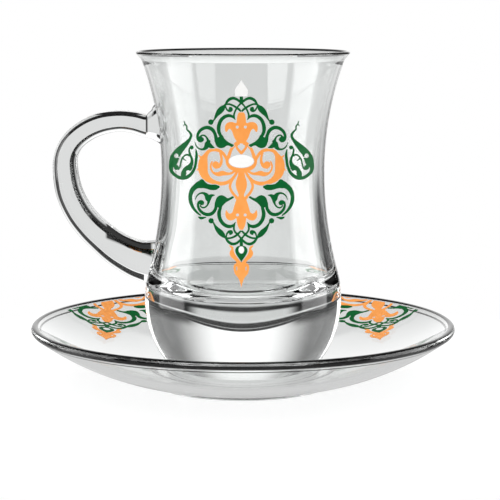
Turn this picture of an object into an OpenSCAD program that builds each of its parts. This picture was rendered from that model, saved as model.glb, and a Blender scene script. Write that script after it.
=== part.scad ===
// Glass teacup with a stuck-on handle, standing in its glass saucer.
// Millimetres, +Z up, the axis of both pieces on Z and the table at z = 0.
// The handle points to -X and the printed face of the cup looks to -Y.

/* [Saucer] */
// Outside diameter of the saucer
saucer_d = 135; // [130:1:140]
// Thickness of the dish wall, which is also the thickness of the rolled rim
saucer_wall = 2.6; // [2.4:0.1:2.9]
// Radius of the arc that the underside of the dish follows
dish_arc = 88; // [86:1:92]
// Diameter of the foot ring that stands on the table
saucer_foot_d = 57.2; // [55:0.2:59]
// Width of the flat face of the foot ring
saucer_foot_w = 3.6; // [3:0.2:5]
// Height at which the dish wall leaves the foot ring
saucer_foot_h = 1; // [0.8:0.1:1.4]
// Diameter of the sunk well that holds the cup
well_d = 61; // [59:0.5:62]
// Height of the well's floor above the table
well_z = 3.9; // [3.6:0.1:4.1]

/* [Cup] */
// Height of the cup from its foot to its lip
cup_h = 102.2; // [98:0.2:106]
// Outside diameter of the lip
lip_d = 67.2; // [66:0.2:69]
// Outside diameter of the waist
waist_d = 51.6; // [50:0.2:53]
// Height of the waist above the cup's foot
waist_z = 64.6; // [62:0.2:67]
// Outside diameter of the bulging base
bulge_d = 62.8; // [61:0.2:64]
// Height of the widest part of the base above the cup's foot
bulge_z = 23.5; // [22:0.5:25]
// Radius of the arc that rounds the base
bulge_arc = 34; // [33:0.5:35]
// Radius of the rounded edge of the foot
foot_edge = 3; // [2:0.5:4]
// Width of the flat ring that the cup stands on
cup_foot_w = 3; // [2.6:0.2:5]
// Depth of the hollow under the cup
punt_depth = 1.2; // [0.8:0.1:2]
// Glass thickness at the waist
cup_wall = 2.1; // [1.9:0.1:2.5]
// Thickness of the solid base under the tea
base_h = 25; // [24.4:0.2:27]
// Radius of the rounded corner between the inside wall and the inside floor
corner_r = 7; // [6:0.5:9]

/* [Handle] */
// Thickness of the handle across the finger gap, as a share of the drawn one
handle_fat = 1; // [0.9:0.02:1.06]
// Depth of the handle from front to back
handle_depth = 8.4; // [7.4:0.2:9]

/* [Print] */
// Thickness of the fired enamel
enamel_t = 0.1; // [0.08:0.01:0.14]
// Height of the centre of the medallion above the cup's foot
medallion_z = 69.7; // [69.1:0.2:70.3]
// How far the medallion lies from the middle of the cup, away from the handle
medallion_x = -0.5; // [-0.8:0.1:0.2]
// Size of one square of the grid that the cup's medallion is drawn on
cup_grid = 0.304; // [0.28:0.002:0.306]
// How much wider than high a square of that grid comes out
cup_stretch = 1.007; // [1:0.001:1.012]
// Bare glass left between two colours, in squares of the grid
keyline = 0.6; // [0.4:0.1:0.9]
// Straight pieces that each drawn span of the ornament is smoothed into
smooth = 3; // [2:1:4]
// Where the foot of each saucer motif lies, out to the side of the axis
motif_x = 46.1; // [45:0.1:47]
// Where the foot of each saucer motif lies, behind the axis
motif_y = 34.9; // [34:0.1:36]

/* [Hidden] */
glass_tint = [0.86, 0.88, 0.88, 0.45];
enamel_green = [0, 0.42, 0.18];
enamel_orange = [1, 0.65, 0.32];
enamel_white = [1, 1, 1];
// Saucer motifs: what one square of the grid across and one square up come to on the dish, seen from above
motif_across = [0.4, 0.24];
motif_up = [-0.01, 0.23];
// Height on the drawing that lies at motif_x and motif_y
motif_foot = -60;
// The motifs stop this far inside the outside of the rim
rim_margin = 2.9;
motif_reach = saucer_d / 2 - rim_margin;
// A hair that lets joined outlines overlap
hair = 0.02;
// Facets of the turned pieces, and pieces that each of their arcs is cut into
cup_facets = 120;
saucer_facets = 180;
long_steps = 14;
dish_steps = 12;
bead_steps = 10;
high_steps = 8;
low_steps = 6;
edge_steps = 4;

// Points along an arc about centre c, from angle a to angle b, n steps
function arc(c, r, a, b, n) = [
    for (i = [0:n]) c + r * [cos(a + (b - a) * i / n), sin(a + (b - a) * i / n)]
];

// Saucer arcs: the underside runs from the foot to the rim about dish_c, and the upper face is parallel to it
dish_tip_in = 0.6;
dish_tip_z = 17.3;
saucer_r = saucer_d / 2;
saucer_foot_r = saucer_foot_d / 2;
rim_bead = saucer_wall / 2;
dish_a = [saucer_foot_r, saucer_foot_h];
dish_reach = [saucer_r - dish_tip_in, dish_tip_z];
dish_chord = dish_reach - dish_a;
dish_mid = (dish_a + dish_reach) / 2;
dish_up = sqrt(pow(dish_arc, 2) - pow(norm(dish_chord) / 2, 2));
dish_c = dish_mid + dish_up * [-dish_chord.y, dish_chord.x] / norm(dish_chord);
dish_in = dish_arc - saucer_wall;
bead_arc = dish_arc - rim_bead;
bead_x = saucer_r - rim_bead;
bead_c = [bead_x, dish_c.y - sqrt(pow(bead_arc, 2) - pow(bead_x - dish_c.x, 2))];
dish_a_angle = atan2(dish_a.y - dish_c.y, dish_a.x - dish_c.x);
bead_angle = atan2(bead_c.y - dish_c.y, bead_c.x - dish_c.x);
well_r = well_d / 2;
well_edge_z = dish_c.y - sqrt(pow(dish_in, 2) - pow(well_r - dish_c.x, 2));
well_angle = atan2(well_edge_z - dish_c.y, well_r - dish_c.x);
recess_step = 0.2;
recess_r = saucer_foot_r - saucer_foot_w;
recess_z = saucer_foot_h + recess_step;

// Cup arcs, in the cup's own heights: a waist that curves in, tangent to a base that curves out
waist_r = waist_d / 2;
bulge_r = bulge_d / 2;
lip_r = lip_d / 2;
bulge_c = [bulge_r - bulge_arc, bulge_z];
waist_drop = waist_z - bulge_z;
bulge_step = bulge_arc - bulge_r + waist_r;
low_arc = (pow(bulge_step, 2) + pow(waist_drop, 2) - pow(bulge_arc, 2)) / (2 * (bulge_arc - bulge_step));
low_c = [waist_r + low_arc, waist_z];
blend_angle = atan2(waist_z - bulge_z, low_c.x - bulge_c.x);
lip_bead = 0.6;
lip_under = -30;
lip_over = 155;
lip_turn = [0.55, 1.5];
flare_drop = 4.2;
lip_c = [lip_r - lip_bead, cup_h - lip_bead];
flare_z = cup_h - flare_drop;
flare_out = 31.4;
high_rise = flare_out - waist_r;
high_arc = (pow(flare_z - waist_z, 2) + pow(high_rise, 2)) / (2 * high_rise);
high_c = [waist_r + high_arc, waist_z];
flare_angle = 180 - asin((flare_z - waist_z) / high_arc);
foot_c = [bulge_c.x + sqrt(pow(bulge_arc - foot_edge, 2) - pow(foot_edge - bulge_z, 2)), foot_edge];
foot_angle = atan2(foot_c.y - bulge_c.y, foot_c.x - bulge_c.x);
punt_r = foot_c.x - cup_foot_w;

// Inside of the cup: one long arc for the wall, a rounded corner and a flat floor
inner_waist_drop = 4.5;
inner_top_drop = 3;
inner_arc = 116;
inner_waist_r = waist_r - cup_wall;
inner_waist_z = waist_z - inner_waist_drop;
inner_c = [inner_waist_r + inner_arc, inner_waist_z];
inner_top_z = cup_h - inner_top_drop;
inner_top_angle = 180 - asin((inner_top_z - inner_waist_z) / inner_arc);
corner_z = base_h + corner_r;
corner_gap = inner_waist_z - corner_z;
corner_x = inner_c.x - sqrt(pow(inner_arc + corner_r, 2) - pow(corner_gap, 2));
corner_c = [corner_x, corner_z];
corner_angle = atan2(corner_gap, inner_c.x - corner_x);

// Outside of the cup from the foot edge up to the flare of the lip, t proud of the glass
function cup_outside(t) = concat(
    arc(bulge_c, bulge_arc + t, foot_angle, blend_angle, long_steps),
    arc(low_c, low_arc - t, 180 + blend_angle, 180, low_steps),
    arc(high_c, high_arc - t, 180, flare_angle, high_steps)
);

// The lip turns out from the flare, rounds over the bead and comes back down the inside wall
function cup_section() = concat(
    [[0, punt_depth], [punt_r - punt_depth, punt_depth], [punt_r, 0]],
    arc(foot_c, foot_edge, -90, foot_angle, edge_steps),
    cup_outside(0),
    [[flare_out, flare_z] + lip_turn],
    arc(lip_c, lip_bead, lip_under, lip_over, high_steps),
    arc(inner_c, inner_arc, inner_top_angle, 180 + corner_angle, long_steps),
    arc(corner_c, corner_r, corner_angle, -90, high_steps),
    [[0, base_h]]
);

// Everything inside the cup's outside face, for cutting the handle's roots
function cup_solid_section() = concat([[0, foot_edge]], cup_outside(0), [[0, flare_z]]);

// Handle stations in the plane of the handle: out from the axis, up from the cup's foot, thickness, depth
handle_stations = [
    [22.5, 79.4, 17, 13], [26.2, 79.2, 13.8, 11.6], [28.4, 78.9, 9.4, 9.4],
    [30.8, 78.8, 7, 8.6], [34.6, 79.8, 6.5, 8.4], [39.2, 80.2, 6.4, 8.4],
    [44.9, 79.3, 6.8, 8.4], [49.9, 77, 6.9, 8.4], [53.8, 73.6, 7, 8.4],
    [56, 69.2, 7.2, 8.4], [56.2, 64.1, 7.6, 8.4], [55.1, 57.6, 8.1, 8.4],
    [52.3, 51.5, 8.4, 8.4], [48.7, 46.8, 8.8, 8.4], [45.1, 43.4, 9.2, 8.5],
    [40.2, 39.5, 10.2, 8.7], [34.5, 36.5, 11.5, 9.2], [30.4, 35.4, 12.9, 10.4],
    [26, 34.8, 15, 12]
];
handle_drawn_depth = 8.4;
handle_sides = 20;
handle_steps = 3;
handle_square = 2.5;

// One value on a smooth curve through four others, at u between the middle two
function glide(a, b, c, d, u) =
    b + 0.5 * u * (c - a + u * (2 * a - 5 * b + 4 * c - d + u * (3 * (b - c) + d - a)));

// A smooth run through the listed points, open at both ends
function smooth_run(p, steps) = concat(
    [for (i = [0:len(p) - 2]) for (k = [0:steps - 1])
        glide(p[max(i - 1, 0)], p[i], p[i + 1], p[min(i + 2, len(p) - 1)], k / steps)],
    [p[len(p) - 1]]
);

// A smooth closed outline through the listed points
function smooth_ring(p, steps) = [
    for (i = [0:len(p) - 1]) for (k = [0:steps - 1])
        let (n = len(p))
        glide(p[(i + n - 1) % n], p[i], p[(i + 1) % n], p[(i + 2) % n], k / steps)
];

// Direction of a run at point i
function heading(p, i) =
    let (d = p[min(i + 1, len(p) - 1)] - p[max(i - 1, 0)])
    [d.x, d.y] / norm([d.x, d.y]);

// Rounded-square section of the handle at angle a, with half sizes w and d
function rounded(a, w, d) = [
    w * sign(cos(a)) * pow(abs(cos(a)), 2 / handle_square),
    d * sign(sin(a)) * pow(abs(sin(a)), 2 / handle_square)
];

module handle_sweep() {
    run = smooth_run(handle_stations, handle_steps);
    n = handle_sides;
    depth_share = handle_depth / handle_drawn_depth;
    rings = [
        for (i = [0:len(run) - 1]) let (h = heading(run, i), s = run[i]) [
            for (k = [0:n - 1])
                let (e = rounded(360 * k / n, handle_fat * s[2] / 2, depth_share * s[3] / 2))
                [-(s.x - h.y * e.x), -e.y, s.y + h.x * e.x]
        ]
    ];
    last = len(run) - 1;
    points = [for (r = rings) for (q = r) q];
    sides = [
        for (i = [0:last - 1]) for (k = [0:n - 1])
            let (a = i * n + k, b = i * n + (k + 1) % n)
            each [[a, a + n, b], [b, a + n, b + n]]
    ];
    first_end = [for (k = [1:n - 2]) [0, k, k + 1]];
    last_end = [for (k = [1:n - 2]) [last * n, last * n + k + 1, last * n + k]];
    polyhedron(points, concat(sides, first_end, last_end), convexity = 6);
}

// Ornament drawing. Each line is a run of points [out from the axis, up from the centre, width], in squares
// of the grid, and each leaf is a closed outline of points. Half is drawn and the other half is its mirror.

// Strand that crosses the axis at the top and ends as the inner tip of the heart
top_strand = [
    [15.3, 56.5, 2], [12.8, 60.2, 2.8], [8.8, 62.1, 3], [5.3, 61.4, 2.6], [2.3, 59.5, 2.4],
    [0, 57.6, 2.2], [-2.7, 54.8, 1.6], [-5, 51.6, 1.8], [-6.5, 48.4, 1.8], [-7.3, 45, 1.8],
    [-6, 41, 0.6]
];
top_leaf_strand = [
    [16.3, 55.7, 1.6], [12.3, 56.4, 1.8], [8.3, 55, 2], [5.3, 53.3, 2.2], [2.3, 51.2, 2.2],
    [0.9, 49.7, 1.8]
];
top_curl = [
    [15.5, 54.5, 1.2], [14.5, 51.5, 1.6], [12, 49.5, 2], [9.6, 50.4, 2.2], [9.8, 52.5, 2],
    [11.5, 53, 1.4]
];
top_leaf = [
    [16, 55.5, 1.4], [18.5, 52.5, 5.4], [21.8, 49, 5.6], [24.4, 45.5, 3.4], [26.3, 42, 1.8],
    [28.3, 39.2, 1.4]
];
top_heart = [
    [6.1, 41.2, 0.6], [8.5, 44, 2.4], [12.3, 45.1, 3.2], [16, 44.2, 3.4], [19.3, 41.6, 3.5],
    [21.4, 38, 3.6], [22.4, 33.5, 3.8], [22.1, 29, 3.4], [20.3, 25, 3]
];
top_heart_leaf = [
    [19, 26.2], [16.7, 22.5], [13.3, 19.4], [9.8, 17.4], [7.3, 16], [9.3, 14], [11.8, 15.2], [14.3, 15.4],
    [17.3, 13.5], [20.8, 13], [24, 14.5], [25.8, 18], [26, 22], [23.8, 23.2], [22, 24.2]
];
top_scroll = [
    [24.3, 20, 4.5], [25.7, 26, 3.2], [28.1, 30.8, 3.6], [32.6, 33.4, 3.6], [37.6, 32.7, 3.3],
    [41.8, 29.4, 3], [43.5, 25, 2.8], [42.5, 21.2, 3], [40, 20, 2.6], [38, 21.5, 2], [38.7, 23.2, 1.2]
];
top_trefoil_stem = [
    [41, 24.5, 1.4], [38.8, 25.8, 1.5], [36.3, 25.4, 1.6], [34.1, 23.2, 1.8], [32.9, 20, 3]
];
top_trefoil = [
    [46, 18.5, 0.7], [44.7, 15, 1.2], [41.7, 12.3, 1.6], [37.8, 11.9, 2.4], [35, 14, 4.5],
    [33.3, 17.5, 5.6], [31.7, 19.8, 2.5]
];
top_trefoil_tip = [[32.8, 17, 5], [30, 14.7, 4], [26.7, 13.4, 1]];

// Drop-shaped side leaf with a wavy tail
drop_tail = [
    [56.9, 39.8, 0.8], [56.3, 37.4, 1.2], [54.3, 34.7, 1.5], [54.3, 31.7, 1.5], [51.7, 29.2, 2],
    [50, 26, 2.7], [51.3, 22.2, 2.8], [54.8, 18, 4.5], [59.8, 13, 6.8], [64.6, 8, 8.2], [67.5, 3, 9.6]
];
drop_twig = [[56.3, 37.2, 1], [57.6, 35.3, 0.9]];
drop_ring = [
    [67.5, 3, 9.6], [69.2, -2, 8.6], [71.2, -6, 5], [70.6, -10.5, 3.6], [67.3, -14, 3.4],
    [62.3, -16.8, 3.4], [56.8, -17, 3.6], [51.8, -14.4, 3.4], [48.3, -10.4, 3], [46.1, -5, 2.8],
    [45.1, 1, 2.8], [44.6, 6.5, 2.6], [45.3, 11.5, 1.2]
];
drop_curl = [
    [63.6, -8.4, 1.6], [62.2, -6.8, 1.5], [61.1, -3.5, 1.6], [60.3, 0.5, 1.6], [58.3, 4.2, 1.6],
    [54.8, 6.5, 1.8], [52.3, 5.7, 2.2]
];
drop_stem = [
    [51.1, 14, 1.2], [52.1, 11, 1.8], [51.3, 6.5, 2.2], [49.6, 2.5, 2.4], [49.4, -1.5, 3.4],
    [51.3, -5.3, 5], [55, -8.3, 6], [57.8, -12, 5.5], [58.3, -15.5, 5]
];
drop_stem_tip = [[49.5, -3, 2], [49.9, -7, 2], [51.3, -9.6, 1]];
drop_hook = [[58.7, 4, 1.2], [57.7, 1.7, 1.2], [55.7, 0.7, 0.8]];

// Lower half of the medallion
low_scroll = [
    [23, -25.7, 3], [25.3, -26, 5.4], [29.8, -26.2, 5.6], [34.8, -25, 5.2], [39.8, -23.2, 8.2],
    [45.3, -25.3, 5.5], [49.3, -29.5, 4.8], [51.1, -35, 4], [50.7, -41, 3.8], [48.3, -46.8, 3],
    [44.3, -51.6, 2.2], [40.8, -54.3, 1.4]
];
low_scroll_tail = [[42.5, -56.3, 1.4], [39.8, -57.2, 2.8], [35.3, -56.2, 0.9]];
low_spiral = [
    [38.4, -43.4, 1.4], [37.9, -41.4, 1.8], [40.1, -40, 2], [42.7, -41.4, 2.2], [43.3, -44.8, 2.4],
    [41.8, -48.8, 2.8], [38.5, -52, 3], [33.8, -53.6, 3.4], [29, -52.2, 3.5], [25.7, -47.8, 3.2],
    [24.7, -42.5, 3.6], [22.8, -38.5, 5]
];
low_trefoil_stem = [
    [41.1, -44.8, 1.3], [39, -46.6, 1.5], [36.1, -46.2, 1.6], [33.7, -43.8, 1.7], [32.7, -40.8, 2.6]
];
low_trefoil = [
    [46, -38.5, 0.7], [44.7, -35.3, 1.2], [41.9, -32.7, 1.6], [38.3, -32, 2.2], [35.1, -33.8, 4],
    [33.1, -37.5, 5.8], [32.3, -40.6, 2.6]
];
low_trefoil_tip = [[32.5, -37, 5.4], [30, -34.6, 3.4], [26.7, -34, 0.9]];
low_heart_leaf = [
    [25.3, -39], [24.3, -36.3], [22.1, -34.5], [19.1, -34], [16.3, -35.2], [13.7, -36.9], [11.3, -36.3],
    [8.8, -35], [7.3, -36.2], [11.3, -38.9], [15.3, -41.3], [18.7, -44.8], [20.5, -48], [22.8, -46.5],
    [24.5, -44]
];
low_heart = [
    [20.8, -46.5, 3], [22.1, -51, 3.7], [21.9, -55.5, 3.8], [20.1, -60, 3.6], [16.5, -63.8, 3.6],
    [12, -65.3, 3.5], [8.3, -64.2, 2.6], [6, -61.2, 0.7]
];
low_strand = [
    [6, -61, 0.6], [7.2, -65, 1.8], [7.4, -68, 1.9], [6.1, -70.8, 2], [3.7, -73.2, 2],
    [1.8, -75.3, 1.8], [0, -77.6, 2.2], [-2.3, -80, 2.4], [-5.5, -82.2, 2.6], [-9.2, -82.6, 2.9],
    [-12.9, -80.5, 2.7], [-15.5, -76.8, 2]
];
low_leaf_strand = [
    [0.8, -70, 1.8], [2.7, -72, 2.2], [5.3, -74.3, 2.2], [9, -76.2, 2], [12.7, -77, 1.9],
    [16.1, -76.4, 1.6]
];
low_curl = [
    [14.9, -75.3, 1.3], [14.3, -72.5, 1.8], [12.3, -70.3, 2.2], [9.8, -70, 2.2], [9.3, -72, 1.8],
    [11.3, -73.2, 1.3]
];
low_leaf = [
    [28.1, -61, 1.4], [26.3, -64.5, 2.2], [24, -68, 4.2], [20.8, -71.3, 5.6], [18, -74.2, 4.4],
    [15.7, -76.6, 1.5]
];
pendant_drop = [[0, -84.2], [3.8, -85], [5.8, -87.5], [6.1, -90], [5, -93], [2.6, -96.6], [0, -100.3]];

// Orange: two lilies on the axis, the crown and bowl round the oval, the side scrolls and the pendant
top_lily = [
    [-hair, 49], [2, 48.4], [3.6, 46.2], [4.4, 42], [5, 37.8], [8.3, 38.7], [11.8, 38.7], [14.9, 37],
    [16.1, 34], [16, 30.7], [15.2, 29], [13.6, 29.8], [12.9, 31.4], [11.3, 32], [9.7, 30.5],
    [8.4, 27.5], [7.1, 23.8], [5.3, 20.7], [3.3, 18.5], [-hair, 17.5]
];
crown = [
    [2.8, 19.5, 3], [6.5, 16.2, 3.2], [9.5, 12.5, 3], [11.3, 8.5, 3], [12.7, 4, 3.6], [13.1, -0.5, 5],
    [10.8, -5, 5.5], [6.3, -7.8, 4.5], [0, -9, 4.5]
];
crown_heart = [[2.2, 17.4, 2], [4.2, 16.2, 2], [4.6, 13.8, 2.2], [2.7, 11, 2.6], [0, 8, 2.8]];
side_scroll = [
    [12.3, -2, 5], [14.7, 2.5, 3], [17.7, 7.3, 3], [21.8, 10.4, 3.2], [27.3, 11.4, 3.2],
    [32.1, 10, 3.4], [35.3, 6, 4.6], [37.7, 0.5, 8.6], [38.3, -5.5, 9.8], [37.7, -11, 9],
    [35, -16, 7.4], [30.3, -19.6, 5.2], [24.3, -22, 4.2], [18.3, -22.3, 3.8], [12.7, -20.6, 3.4],
    [8.3, -17, 3], [5.3, -12.5, 2.6], [3.8, -9, 2.4]
];
side_barb = [[40.3, 4, 2], [42.7, 5.8, 0.8]];
side_point = [[41, -7, 3], [44.5, -9.2, 0.7]];
side_curl = [[20.8, 8, 2.2], [19.7, 3.5, 2.4], [19.9, -1, 2.8], [22, -4.8, 3.6], [25.3, -5.8, 3.6]];
side_leaf = [
    [29, -0.5, 1.4], [30.4, -4, 1.8], [30.1, -8, 1.9], [27.7, -11.6, 2.2], [23.3, -13, 4.2],
    [18.8, -12, 5], [14.8, -12.5, 3.2], [10.8, -12.3, 2.4], [6.8, -10, 2.4]
];
column = [
    [-hair, -8], [3, -9], [3.2, -12], [3.6, -15], [5, -19], [5.6, -23], [5, -27], [3.6, -31],
    [2.6, -34], [3.5, -37.5], [-hair, -38]
];
column_loop = [
    [6.7, -14.8, 2.4], [9.7, -20, 2.4], [11.3, -25, 2.6], [9.7, -30, 2.6], [6.5, -34.3, 2.8],
    [3.3, -38, 3.4]
];
low_lily = [
    [-hair, -36.5], [4, -37.5], [5.3, -39.5], [6.5, -43], [7.7, -47], [8.7, -50.5], [10.5, -52.2],
    [12.5, -52], [13.9, -50.2], [15, -48.8], [15.9, -52], [15.3, -56], [12.9, -58.8], [9.7, -59.2],
    [6.7, -58], [5, -56.8], [4.5, -60], [3.7, -64], [2, -67.8], [-hair, -70]
];
pendant = [
    [-hair, -101], [1.6, -99.4], [5.3, -94.6], [7.1, -91], [7.7, -88], [8.3, -85.5], [11.1, -84],
    [12, -84.6], [9.9, -87.5], [11.3, -90], [11.6, -93], [9.8, -96], [6.8, -98.6], [4.7, -101],
    [6.9, -103], [7.8, -106], [7.3, -109.5], [6.3, -112.5], [4.5, -114.6], [2.7, -117.2], [1, -121.5],
    [-hair, -126]
];
white_drop = [[-hair, 79.8], [2.3, 76], [5.3, 72], [6.3, 69], [6, 66], [5.3, 64.2], [-hair, 64.2]];

// Round dots: out from the axis, up from the centre, radius. Holes are cut out of the forms round them.
upper_dots = [[10.7, 51.4, 1.9], [30.1, 38.8, 2.7], [40.5, 22.1, 2.8]];
lower_dots = [[39.4, -20.8, 2.7], [40, -42.2, 2.1], [10.7, -71.2, 1.9], [30.1, -59.7, 2.7]];
drop_dots = [[65.6, -6.5, 2.6], [49.5, 13.7, 2]];
drop_hole = [65.5, 5.3, 2.3];
drop_slit = [[65.5, 4.6, 1], [60, 3, 1]];
drop_stem_hole = [53.3, -11.3, 2.1];
side_dot = [25.5, -3.6, 3.5];
top_lily_hole = [4, 33.8, 1.5];
low_lily_hole = [3.8, -53.7, 1.5];
dot_sides = 16;

// Ovals: out from the axis, up from the centre, half width, half height
centre_oval = [0, 0, 12.2, 6.3];
pendant_oval = [0, -88.5, 2.6, 3.5];
pendant_slit = [4.6, -107, 0.7, 2.2];
oval_sides = 32;

// Knots that tie the crossing strands: out from the axis, up from the centre, width, height
top_knot = [0, 60.4, 3.4, 6.6];
low_knot = [0, -81, 3.2, 8];
round_end_steps = 6;

// A line of changing width, round at both ends
module line(p) {
    run = smooth_run(p, smooth);
    last = len(run) - 1;
    middle = [for (q = run) [q.x, q.y]];
    side = [for (i = [0:last]) let (h = heading(run, i)) [-h.y, h.x] * run[i].z / 2];
    for (i = [0:last - 1])
        polygon([
            middle[i] + side[i], middle[i + 1] + side[i + 1], middle[i + 1] - side[i + 1], middle[i] - side[i]
        ]);
    round_end(middle[0], side[0], -heading(run, 0) * run[0].z / 2);
    round_end(middle[last], side[last], heading(run, last) * run[last].z / 2);
}

// Half disc that closes a line, from one side of it over its tip to the other side
module round_end(c, side, tip) {
    turn = 180 / round_end_steps;
    polygon([for (k = [0:round_end_steps]) c + side * cos(turn * k) + tip * sin(turn * k)]);
}

module dot(d) {
    translate([d.x, d.y]) circle(d.z, $fn = dot_sides);
}

// Oval, made larger all round by grow
module egg(e, grow) {
    translate([e[0], e[1]]) scale([e[2] + grow, e[3] + grow]) circle(1, $fn = oval_sides);
}

module knot(k) {
    translate([k[0], k[1]]) square([k[2], k[3]], center = true);
}

module leaf(p) {
    polygon(smooth_ring(p, smooth));
}

// Half outline that meets the axis at its first and last points
module half(p) {
    polygon(smooth_run(p, smooth));
}

module both_halves() {
    children();
    mirror([1, 0]) children();
}

module green_upper() {
    for (p = [
        top_strand, top_leaf_strand, top_curl, top_leaf, top_heart, top_scroll, top_trefoil_stem, top_trefoil,
        top_trefoil_tip
    ]) line(p);
    leaf(top_heart_leaf);
    for (d = upper_dots) dot(d);
    knot(top_knot);
}

module green_side_drop() {
    difference() {
        union() {
            line(drop_tail);
            line(drop_ring);
        }
        dot(drop_hole);
        line(drop_slit);
    }
    difference() {
        union() {
            line(drop_stem);
            line(drop_stem_tip);
        }
        dot(drop_stem_hole);
    }
    for (p = [drop_twig, drop_curl, drop_hook]) line(p);
    for (d = drop_dots) dot(d);
}

module green_lower() {
    for (p = [
        low_scroll, low_scroll_tail, low_spiral, low_trefoil_stem, low_trefoil, low_trefoil_tip, low_heart,
        low_strand, low_leaf_strand, low_curl, low_leaf
    ]) line(p);
    leaf(low_heart_leaf);
    for (d = lower_dots) dot(d);
    knot(low_knot);
    difference() {
        half(pendant_drop);
        egg(pendant_oval, keyline / 2);
    }
}

module white_art() {
    both_halves() half(white_drop);
    egg(centre_oval, 0);
    egg(pendant_oval, -keyline / 2);
}

module orange_raw() {
    both_halves() {
        difference() {
            half(top_lily);
            dot(top_lily_hole);
        }
        for (p = [
            crown, crown_heart, side_scroll, side_barb, side_point, side_curl, side_leaf, column_loop
        ]) line(p);
        dot(side_dot);
        half(column);
        difference() {
            half(low_lily);
            dot(low_lily_hole);
        }
        difference() {
            half(pendant);
            egg(pendant_slit, 0);
        }
    }
}

module green_art(with_drops) {
    both_halves() {
        green_upper();
        green_lower();
        if (with_drops) green_side_drop();
    }
}

// Orange keeps a bare keyline from the other colours
module orange_art(with_drops) {
    difference() {
        orange_raw();
        offset(delta = keyline) green_art(with_drops);
        offset(delta = keyline) white_art();
    }
}

// Thin coat that follows the outside of the cup
module cup_coat() {
    rotate_extrude($fn = cup_facets) polygon(concat(
        cup_outside(0),
        [for (i = [len(cup_outside(0)) - 1:-1:0]) cup_outside(enamel_t)[i]]
    ));
}

// Print on the face of the cup that looks to -Y: the drawing is pushed forward through that wall alone,
// rising a little, so that its sides lie lower round the cup than its middle
print_back = 17.8;
print_run = 30;
print_rise = 4.8;
module cup_print() {
    intersection() {
        translate([medallion_x, -waist_r, medallion_z]) rotate([90 - print_rise, 0, 0])
            translate([0, 0, -print_back]) linear_extrude(print_run)
            offset(delta = hair / 4) scale([cup_grid * cup_stretch, cup_grid]) children();
        cup_coat();
    }
}

// Thin coat that follows the upper face of the dish
module dish_coat() {
    rotate_extrude($fn = saucer_facets) polygon(concat(
        arc(dish_c, dish_in, bead_angle, well_angle, dish_steps),
        arc(dish_c, dish_in - enamel_t, well_angle, bead_angle, dish_steps)
    ));
}

// The drawing laid on the dish in plan, once on each side of the cup
module saucer_motifs() {
    both_halves() multmatrix([
        [motif_across.x, motif_up.x, 0, -motif_x - motif_up.x * motif_foot],
        [motif_across.y, motif_up.y, 0, motif_y - motif_up.y * motif_foot],
        [0, 0, 1, 0]
    ]) children();
}

module saucer_print() {
    intersection() {
        linear_extrude(saucer_d / 4) offset(delta = hair / 4) intersection() {
            saucer_motifs() children();
            circle(motif_reach, $fn = saucer_facets);
        }
        dish_coat();
    }
}

module on_saucer() {
    translate([0, 0, well_z]) children();
}

module saucer() {
    color(glass_tint) rotate_extrude($fn = saucer_facets) polygon(concat(
        [[0, recess_z], [recess_r, recess_z], [recess_r, 0], [saucer_foot_r, 0]],
        arc(dish_c, dish_arc, dish_a_angle, bead_angle, dish_steps),
        arc(bead_c, rim_bead, bead_angle, bead_angle + 180, bead_steps),
        arc(dish_c, dish_in, bead_angle, well_angle, dish_steps),
        [[well_r, well_z], [0, well_z]]
    ));
}

module cup_bowl() {
    color(glass_tint) on_saucer() rotate_extrude($fn = cup_facets) polygon(cup_section());
}

module cup_handle() {
    color(glass_tint) on_saucer() difference() {
        handle_sweep();
        rotate_extrude($fn = cup_facets) polygon(cup_solid_section());
    }
}

module cup_print_green() {
    color(enamel_green) on_saucer() cup_print() green_art(true);
}

module cup_print_orange() {
    color(enamel_orange) on_saucer() cup_print() orange_art(true);
}

module cup_print_white() {
    color(enamel_white) on_saucer() cup_print() white_art();
}

module saucer_print_green() {
    color(enamel_green) saucer_print() green_art(false);
}

module saucer_print_orange() {
    color(enamel_orange) saucer_print() orange_art(false);
}

saucer();
cup_bowl();
cup_handle();
cup_print_green();
cup_print_orange();
cup_print_white();
saucer_print_green();
saucer_print_orange();
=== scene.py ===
"""Glass teacup with a stuck-on handle, standing in its printed glass saucer.

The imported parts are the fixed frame. The two pieces of glass are turned again here from the same
sizes, finer and with rounded edges, so that light bends through them as it does in real glass. The
fired enamel keeps the parts' own solids. Lengths in the classes are millimetres, and meshes are in
metres.
"""

import logging
import math
from dataclasses import dataclass
from enum import Enum
from typing import Any, Union

import bmesh
import bpy
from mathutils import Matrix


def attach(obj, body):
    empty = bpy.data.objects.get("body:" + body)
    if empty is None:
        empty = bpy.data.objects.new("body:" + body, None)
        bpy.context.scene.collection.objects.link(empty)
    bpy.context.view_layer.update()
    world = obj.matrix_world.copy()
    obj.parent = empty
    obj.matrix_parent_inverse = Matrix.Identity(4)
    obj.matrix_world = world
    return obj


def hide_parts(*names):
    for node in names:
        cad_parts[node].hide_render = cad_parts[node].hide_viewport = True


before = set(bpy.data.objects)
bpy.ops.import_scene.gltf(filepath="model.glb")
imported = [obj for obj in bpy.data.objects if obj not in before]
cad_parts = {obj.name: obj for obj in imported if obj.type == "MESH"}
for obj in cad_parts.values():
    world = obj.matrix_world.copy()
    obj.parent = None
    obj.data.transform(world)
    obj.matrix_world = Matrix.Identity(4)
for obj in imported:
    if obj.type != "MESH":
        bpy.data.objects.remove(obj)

LOG = logging.getLogger("teacup")
MM = 0.001
PER_RADIAN = 180 / math.pi
JOIN_M = 0.5e-6
SLIVER_M = 0.2e-6
SHARP_DEGREES = 40.0
WHITE = (1.0, 1.0, 1.0, 1.0)
Point = tuple[float, float]
Colour = tuple[float, float, float]


class Body(Enum):
    """The two rigid bodies of the part."""

    SAUCER = "saucer_body"
    CUP = "cup_body"


class Slot(Enum):
    """Material slots of the record."""

    GLASS = "clear_glass"


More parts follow.
